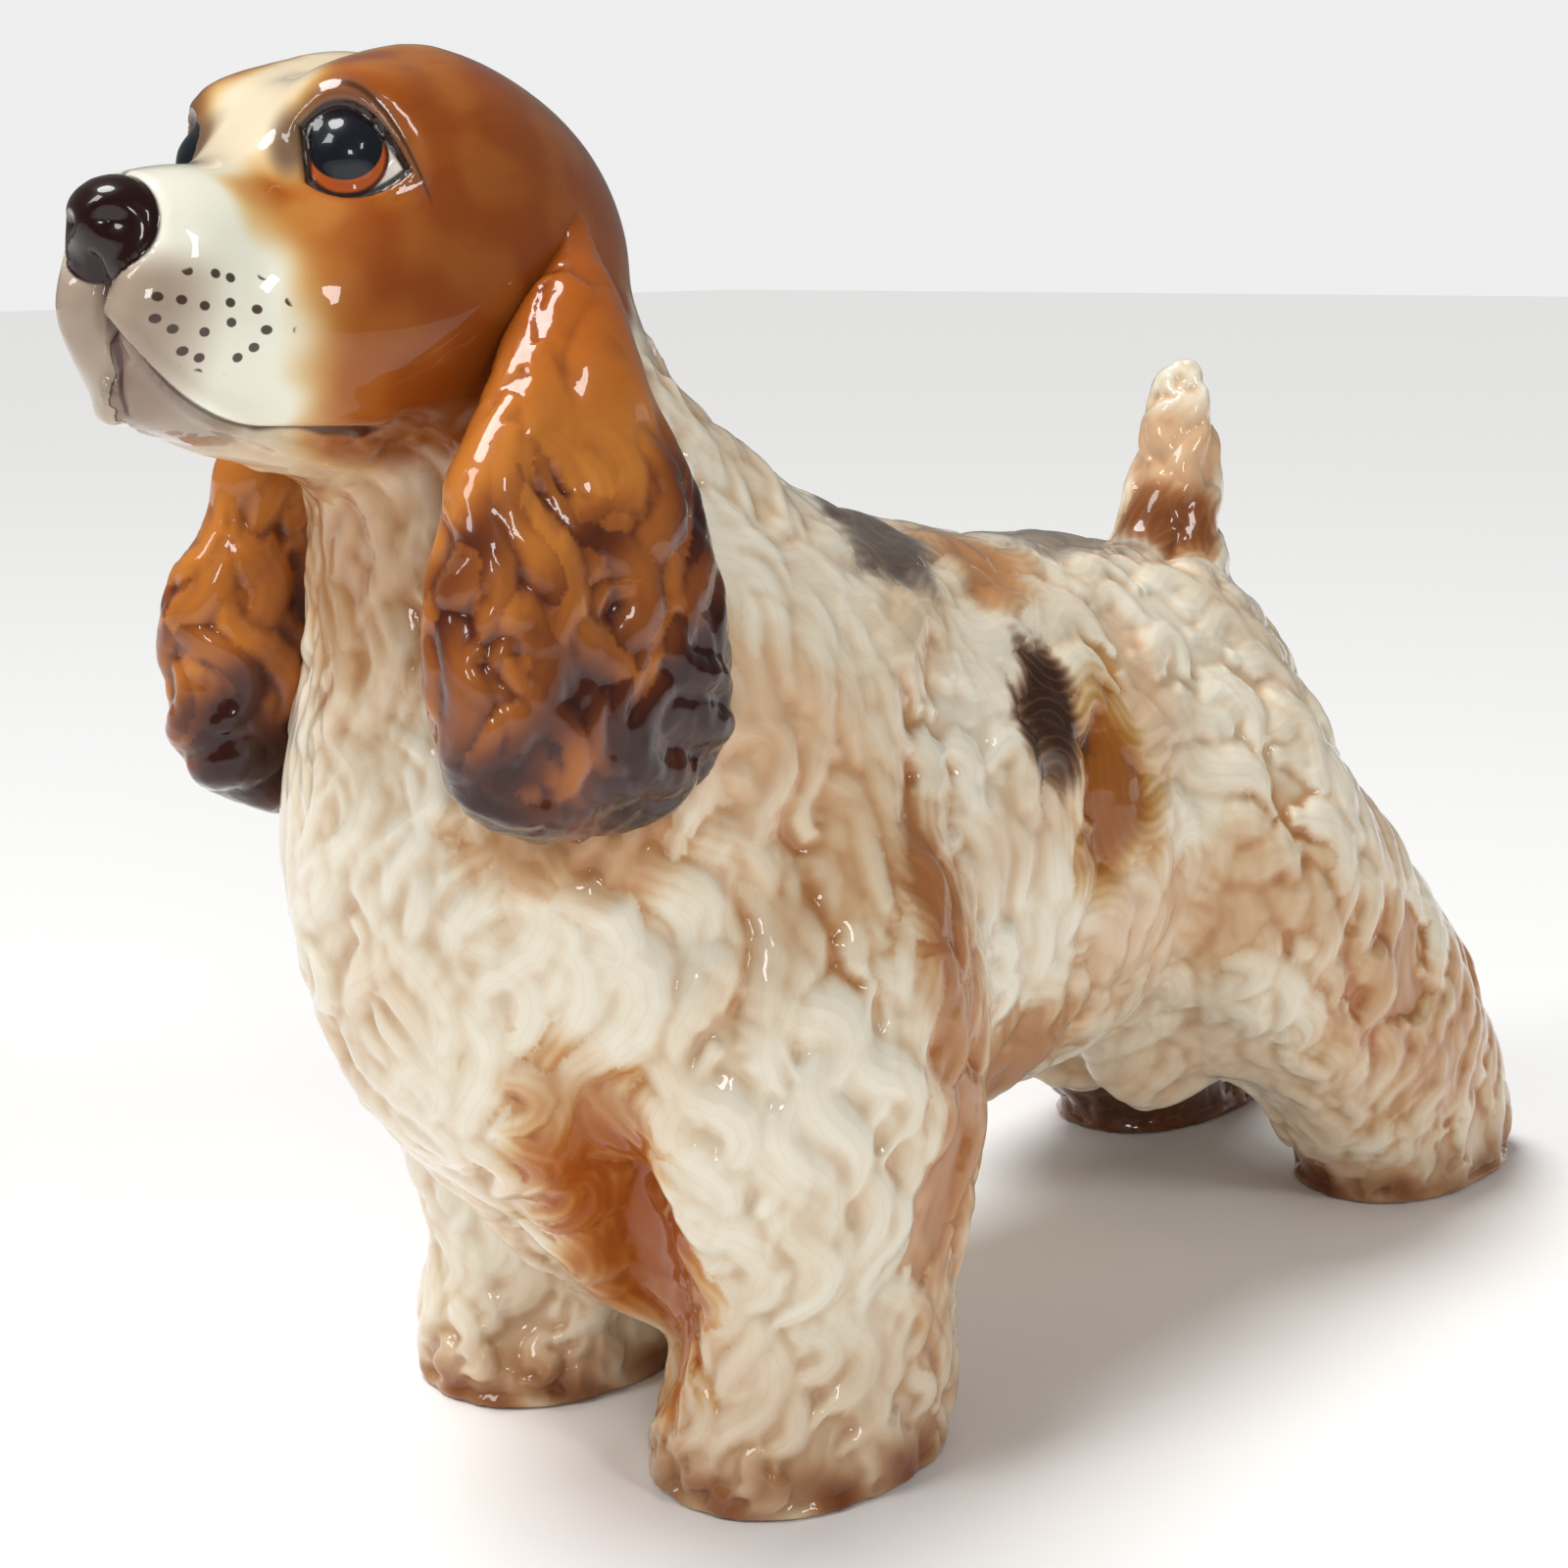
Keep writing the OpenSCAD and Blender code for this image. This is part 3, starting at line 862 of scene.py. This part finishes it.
def add_piece(name, points, faces, normals, paints, material, node):
    """One closed piece from some faces of a skin, with a flat web across each cut."""
    used, index = np.unique(faces, return_inverse=True)
    quads = index.reshape(-1, 4)
    heads = quads.ravel()
    tails = np.roll(quads, -1, axis=1).ravel()
    count = len(used) + 1
    open_edges = ~np.isin(heads * count + tails, tails * count + heads)
    after = dict(zip(tails[open_edges].tolist(), heads[open_edges].tolist()))
    co, facing = points[used], normals[used]
    added, origins, webs = [], [], []
    while after:
        start = next(iter(after))
        loop = [start]
        while after[loop[-1]] != start:
            loop.append(after.pop(loop[-1]))
        after.pop(loop[-1])
        # The web goes straight in under the skin first, and then across to its middle
        rim = co[loop] - WEB_DEPTH * facing[loop]
        first = len(co) + len(added)
        hub = first + len(loop)
        added += [*rim, rim.mean(0)]
        origins += [*loop, start]
        for n, a in enumerate(loop):
            b, below_a, below_b = loop[n - 1], first + n, first + (n - 1) % len(loop)
            webs += [(b, a, below_a), (b, below_a, below_b), (below_b, below_a, hub)]
    values = {key: value[used] for key, value in paints.items()}
    if added:
        co = np.concatenate([co, added])
        facing = np.concatenate([facing, facing[origins]])
        values = {key: np.concatenate([v, v[origins]]) for key, v in values.items()}
    mesh = bpy.data.meshes.new(name)
    corners = np.concatenate([quads.ravel(), np.array(webs, int).ravel()]).astype(np.int32)
    starts = np.concatenate([np.arange(len(quads)) * 4, len(quads) * 4 + np.arange(len(webs)) * 3])
    mesh.vertices.add(len(co))
    mesh.vertices.foreach_set("co", (co * MM).astype(np.float32).ravel())
    mesh.loops.add(len(corners))
    mesh.loops.foreach_set("vertex_index", corners)
    mesh.polygons.add(len(starts))
    mesh.polygons.foreach_set("loop_start", starts.astype(np.int32))
    mesh.update(calc_edges=True)
    mesh.polygons.foreach_set("use_smooth", np.ones(len(starts), bool))
    for key, value in values.items():
        if value.ndim == 1:
            layer = mesh.attributes.new(key, "FLOAT", "POINT")
            layer.data.foreach_set("value", value.astype(np.float32))
        elif key == "head":
            layer = mesh.attributes.new(key, "FLOAT_VECTOR", "POINT")
            layer.data.foreach_set("vector", value.astype(np.float32).ravel())
        else:
            layer = mesh.attributes.new(key, "FLOAT_COLOR", "POINT")
            rgba = np.concatenate([value, np.ones((len(value), 1))], axis=1)
            layer.data.foreach_set("color", rgba.astype(np.float32).ravel())
    mesh.normals_split_custom_set_from_vertices(facing.tolist())
    mesh.materials.append(material)
    obj = bpy.data.objects.new(name, mesh)
    bpy.context.scene.collection.objects.link(obj)
    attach(obj, "root")
    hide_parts(node)
    return obj


def vertex_normals(points, quads):
    a, b, c, d = (points[quads[:, i]] for i in range(4))
    faces = np.cross(c - a, d - b)
    normals = np.zeros_like(points)
    for i in range(4):
        for axis in range(3):
            normals[:, axis] += np.bincount(quads[:, i], faces[:, axis], len(points))
    return unit(normals)


# ---------------------------------------------------------------- trunk and head

# Seams: a point on each plane and the way to the piece that it cuts off
MIDDLE_Y = 4.5
NECK_SEAM = [((0, -75, 143), (0, -0.25, 1))]
FORE_SEAMS = [((0, 0, 0), (1, 0, 0)), ((0, 0, 31), (0.9, 0, -1)), ((0, -9, 34), (0, -1, -0.15))]
HIND_SEAMS = [((0, 0, 0), (1, 0, 0)), ((0, 0, 34), (1.3, 0, -1)), ((0, 38, 40), (0, 1, 0.35))]
TAIL_SEAM = [((0, 76, 118), (0, 0.16, 1)), ((0, 60, 100), (0, 1, 0))]


def beyond(places, seams, side=1):
    chosen = np.ones(len(places), bool)
    for point, way in seams:
        here = places * [side, 1, 1] + [0, MIDDLE_Y, 0]
        chosen &= (here - point) @ np.array(way, float) > 0
    return chosen


def sculpted(grid, field, low, high, shape):
    """The field with a shaping function run on the block between two corners."""
    cut = [slice(*np.searchsorted(grid.axis(n).ravel(), (low[n], high[n]))) for n in range(3)]
    axes = np.broadcast_arrays(*[grid.axis(n) for n in range(3)])
    block = np.stack([a[tuple(cut)] for a in axes], -1)
    field[tuple(cut)] = shape(block, field[tuple(cut)])


def build_trunk():
    grid, field = casting_field(TRUNK, closing=3.4, soften=1.5)
    sculpted(grid, field, (-50, -150, 128), (50, -45, 200),
             lambda p, d: sculpt_head(on_head(p), d))
    sculpted(grid, field, (-60, -110, -9), (60, 110, 110), sculpt_trunk)
    points, quads = grid.surface(np.maximum(field, -grid.axis(2)))
    points = relax(points, quads, 2, 0.4)
    skin = Skin(points, quads, coat_table(COAT, True))
    points, quads, normals = skin.points, skin.quads, skin.normals
    h = on_head(points)
    # The face is smooth, and the coat starts behind the skull and under the jaw
    face = np.linalg.norm((h - [0, 3, -9]) / [34, 40, 30], axis=1)
    jaw = smooth_step(-36, -28, h[:, 2] + 0.1 * h[:, 1])
    crown = np.linalg.norm((h - [0, -10, -4]) / [34, 44, 32], axis=1)
    furry = np.maximum(smooth_step(0.95, 1.25, np.minimum(face, crown)), 1 - jaw)
    furry *= smooth_step(0.2, 2.0, points[:, 2])
    waves = comb(skin, furry, 9.0, 0.95, 11, size=1.8)
    locks = comb(skin, furry, 6.5, 0.75, 12, size=0.9)
    height = 0.85 * relax(waves.height, quads, 4) + 0.28 * relax(locks.height, quads, 2)
    height = (height - height[furry > 0.5].mean()) * furry
    # How far each vertex lies below its smoothed neighbours: the hollows of the coat, painted with their
    # airbrushed tint and with painted shade
    dips = relax(height, quads, 30) - height
    points = points + normals * height[:, None]
    points[:, 2] = np.maximum(points[:, 2], 0.02)
    relief = relax(face_relief(h), quads, 1)
    points = points + normals * (relief * (1 - furry))[:, None]
    normals = vertex_normals(points, quads)
    dips = smooth_step(-0.25, 0.45, dips) * furry
    brush = np.sin(LINE_PITCH * waves.across + LINE_SHIFT * waves.tone)
    streaks = 0.35 * (waves.tone - 0.5) + 0.05 * brush
    colours = coat_colours(points, dips, streaks)
    face_colours = head_colours(h)
    share = 1 - smooth_step(0.95, 1.12, np.minimum(face, crown) + 0.04 * wobble(points, 5, 71))
    share *= smooth_step(-38, -33, h[:, 2])
    colours = colours * (1 - share[:, None]) + face_colours * share[:, None]
    paints = {"paint": colours, "across": waves.across, "tone": waves.tone, "furry": furry, "head": h}
    middles = points[quads].mean(1)
    places = {
        "head": beyond(middles, NECK_SEAM),
        "tail": beyond(middles, TAIL_SEAM),
        "left_foreleg": beyond(middles, FORE_SEAMS),
        "right_foreleg": beyond(middles, FORE_SEAMS, -1),
        "left_hindleg": beyond(middles, HIND_SEAMS),
        "right_hindleg": beyond(middles, HIND_SEAMS, -1),
    }
    coat, face_glaze = coat_material(), head_material()
    rest = np.ones(len(quads), bool)
    for name, chosen in places.items():
        rest &= ~chosen
        is_head = name == "head"
        add_piece("glazed_" + name, points, quads[chosen], normals, paints,
                  face_glaze if is_head else coat, "head_shell" if is_head else name)
    add_piece("glazed_body", points, quads[rest], normals, paints, coat,
              "body_shell")


# The ear's root on the skull, and the smooth fold along its front edge, as rods of
# the head's frame: two ends, and a radius at each
EAR_RODS = {
    1: [((21.5, -28.0, -6.0), (30.0, -19.5, -26.0), 2.2, 6.0),
        ((27.0, -20.0, -17.0), (29.0, -3.0, -37.0), 3.0, 3.2)],
    -1: [((-22.0, -26.0, -8.0), (-22.0, -33.0, -30.0), 2.2, 6.5),
         ((-23.0, -27.0, -14.0), (-26.0, -21.0, -36.0), 3.0, 3.0)],
}


def sculpt_ear(h, d, side):
    for ends in EAR_RODS[side]:
        d = join(d, rod(h, *ends), 6)
    return d


def build_ear(side):
    node = "left_ear" if side > 0 else "right_ear"
    grid, field = casting_field([node], closing=0.5, soften=1.2)
    sculpted(grid, field, (-99, -199, 0), (99, 0, 199),
             lambda p, d: sculpt_ear(on_head(p), d, side))
    points, quads = grid.surface(field - 0.3)
    points = relax(points, quads, 2, 0.4)
    rows = EAR_COAT if side > 0 else [
        ((-p[0], p[1] + 6, p[2] - 6), (-d[0], d[1], d[2]), *rest) for p, d, *rest in EAR_COAT]
    skin = Skin(points, quads, coat_table(rows, False))
    points, quads, normals = skin.points, skin.quads, skin.normals
    top = points[:, 2].max()
    h = on_head(points)
    fold = np.minimum(*(rod(h, *ends) for ends in EAR_RODS[side]))
    furry = 0.1 + 0.9 * smooth_step(0.5, 5.0, fold)
    waves = comb(skin, furry + 1, 7.0, 1.0, 23, size=1.5)
    locks = comb(skin, furry + 1, 5.0, 0.9, 24, size=0.8)
    height = 0.95 * relax(waves.height, quads, 2) + 0.35 * relax(locks.height, quads, 1)
    height = (height - height.mean()) * furry
    dips = relax(height, quads, 20) - height
    points = points + normals * height[:, None]
    normals = vertex_normals(points, quads)
    dips = smooth_step(-0.1, 0.7, dips)
    colours = np.tile(GOLD, (len(points), 1))
    down = (top - points[:, 2]) / (top - points[:, 2].min())
    rear = smooth_step(2, 22, points[:, 1] - points[:, 1].mean())
    # Browner towards the bottom and the rear edge: the ear's own brown, deepened as painted shade where
    # the ear turns in to the chest
    brown_and_shade = down + 0.5 * rear + 0.2 * wobble(points, 16, 41) + 0.3 * (waves.tone - 0.5)
    colours = blend_in(colours, 0.7 * smooth_step(-0.1, 0.25, 0.3 - down), RUST)
    colours = blend_in(colours, 0.85 * smooth_step(0.4, 0.85, brown_and_shade), BROWN)
    colours = blend_in(colours, 0.95 * smooth_step(0.65, 1.1, brown_and_shade), CHOCOLATE)
    # Chocolate in the grooves between the strands: partly their brown paint, partly painted shade in the
    # hollows
    colours = blend_in(colours, dips * (0.55 + 0.4 * smooth_step(0.3, 0.9, brown_and_shade)), CHOCOLATE)
    paints = {"paint": colours, "across": waves.across, "tone": waves.tone, "furry": furry}
    add_piece("glazed_" + node, points, quads, normals, paints, EAR_GLAZE, node)


# ---------------------------------------------------------------- studio


# The view: degrees, a place in millimetres, and a lens in millimetres
CAMERA_AZIMUTH = 43.8
CAMERA_ELEVATION = 11.9
CAMERA_ROLL = -0.6
CAMERA_PLACE = (255.5, -288.4, 165.9)
CAMERA_LENS = 59.4
SENSOR_WIDTH = 36


def add_camera():
    """A long lens, in front of the dog and to its left, a little above its back."""
    azimuth, elevation = math.radians(CAMERA_AZIMUTH), math.radians(CAMERA_ELEVATION)
    back = Vector((math.sin(azimuth) * math.cos(elevation),
                   -math.cos(azimuth) * math.cos(elevation), math.sin(elevation)))
    camera = bpy.data.objects.new("camera", bpy.data.cameras.new("camera"))
    bpy.context.scene.collection.objects.link(camera)
    camera.data.sensor_width = SENSOR_WIDTH
    camera.data.lens = CAMERA_LENS
    camera.data.clip_start = 0.01
    roll = Matrix.Rotation(math.radians(CAMERA_ROLL), 3, "Z")
    turn = back.to_track_quat("Z", "Y").to_matrix() @ roll
    camera.matrix_world = Matrix.Translation(Vector(CAMERA_PLACE) * MM) @ turn.to_4x4()
    bpy.context.scene.camera = camera


def add_light(name, right, up, back, size, power, colour=(1, 1, 1)):
    """A softbox, placed in metres from the dog as the camera sees it, and aimed at it."""
    azimuth = math.radians(CAMERA_AZIMUTH)
    across = Vector((math.cos(azimuth), math.sin(azimuth), 0))
    away = Vector((math.sin(azimuth), -math.cos(azimuth), 0))
    light = bpy.data.lights.new(name, "AREA")
    light.shape = "RECTANGLE"
    light.size, light.size_y = size
    light.energy = power
    light.specular_factor = 1.6
    light.color = colour
    obj = bpy.data.objects.new(name, light)
    bpy.context.scene.collection.objects.link(obj)
    obj.location = across * right + away * back + Vector((0, 0, up))
    aim = Vector((0, 0, 0.1)) - obj.location
    obj.rotation_euler = aim.to_track_quat("-Z", "Y").to_euler()


def add_floor():
    mesh = bpy.data.meshes.new("floor")
    half = 6.0
    mesh.from_pydata([(-half, -half, 0), (half, -half, 0), (half, half, 0), (-half, half, 0)],
                     [], [(0, 1, 2, 3)])
    floor = bpy.data.objects.new("floor", mesh)
    bpy.context.scene.collection.objects.link(floor)
    n = Nodes("paper")
    n.put(n.shader.inputs["Base Color"], (0.95, 0.95, 0.95))
    n.put(n.shader.inputs["Roughness"], 0.8)
    n.put(n.shader.inputs["Specular IOR Level"], 0.1)
    mesh.materials.append(n.material)


def add_studio():
    world = bpy.data.worlds.new("studio")
    bpy.context.scene.world = world
    world.use_nodes = True
    tree = world.node_tree
    backdrop = tree.nodes["Background"]
    backdrop.inputs["Color"].default_value = (1, 1, 1, 1)
    backdrop.inputs["Strength"].default_value = 0.86
    room = tree.nodes.new("ShaderNodeBackground")
    room.inputs["Color"].default_value = (1.0, 0.97, 0.93, 1)
    room.inputs["Strength"].default_value = 0.17
    seen = tree.nodes.new("ShaderNodeLightPath").outputs["Is Camera Ray"]
    either = tree.nodes.new("ShaderNodeMixShader")
    tree.links.new(seen, either.inputs[0])
    tree.links.new(room.outputs[0], either.inputs[1])
    tree.links.new(backdrop.outputs[0], either.inputs[2])
    tree.links.new(either.outputs[0], tree.nodes["World Output"].inputs["Surface"])
    add_light("key", -0.75, 0.95, 0.55, (0.30, 0.42), 4.5)
    add_light("window", 0.60, 0.75, 0.75, (0.14, 0.30), 2.2)
    add_light("front", 0.10, 0.40, 0.90, (0.10, 0.14), 0.8)
    sun = bpy.data.lights.new("sky", "SUN")
    sun.energy = 2.2
    sun.angle = math.radians(25)
    sky = bpy.data.objects.new("sky", sun)
    sky.rotation_euler = (math.radians(12), math.radians(-14), 0)
    bpy.context.scene.collection.objects.link(sky)
    bpy.context.scene.view_settings.view_transform = "Standard"


EAR_GLAZE = ear_material()
add_camera()
add_studio()
add_floor()
build_trunk()
build_ear(1)
build_ear(-1)
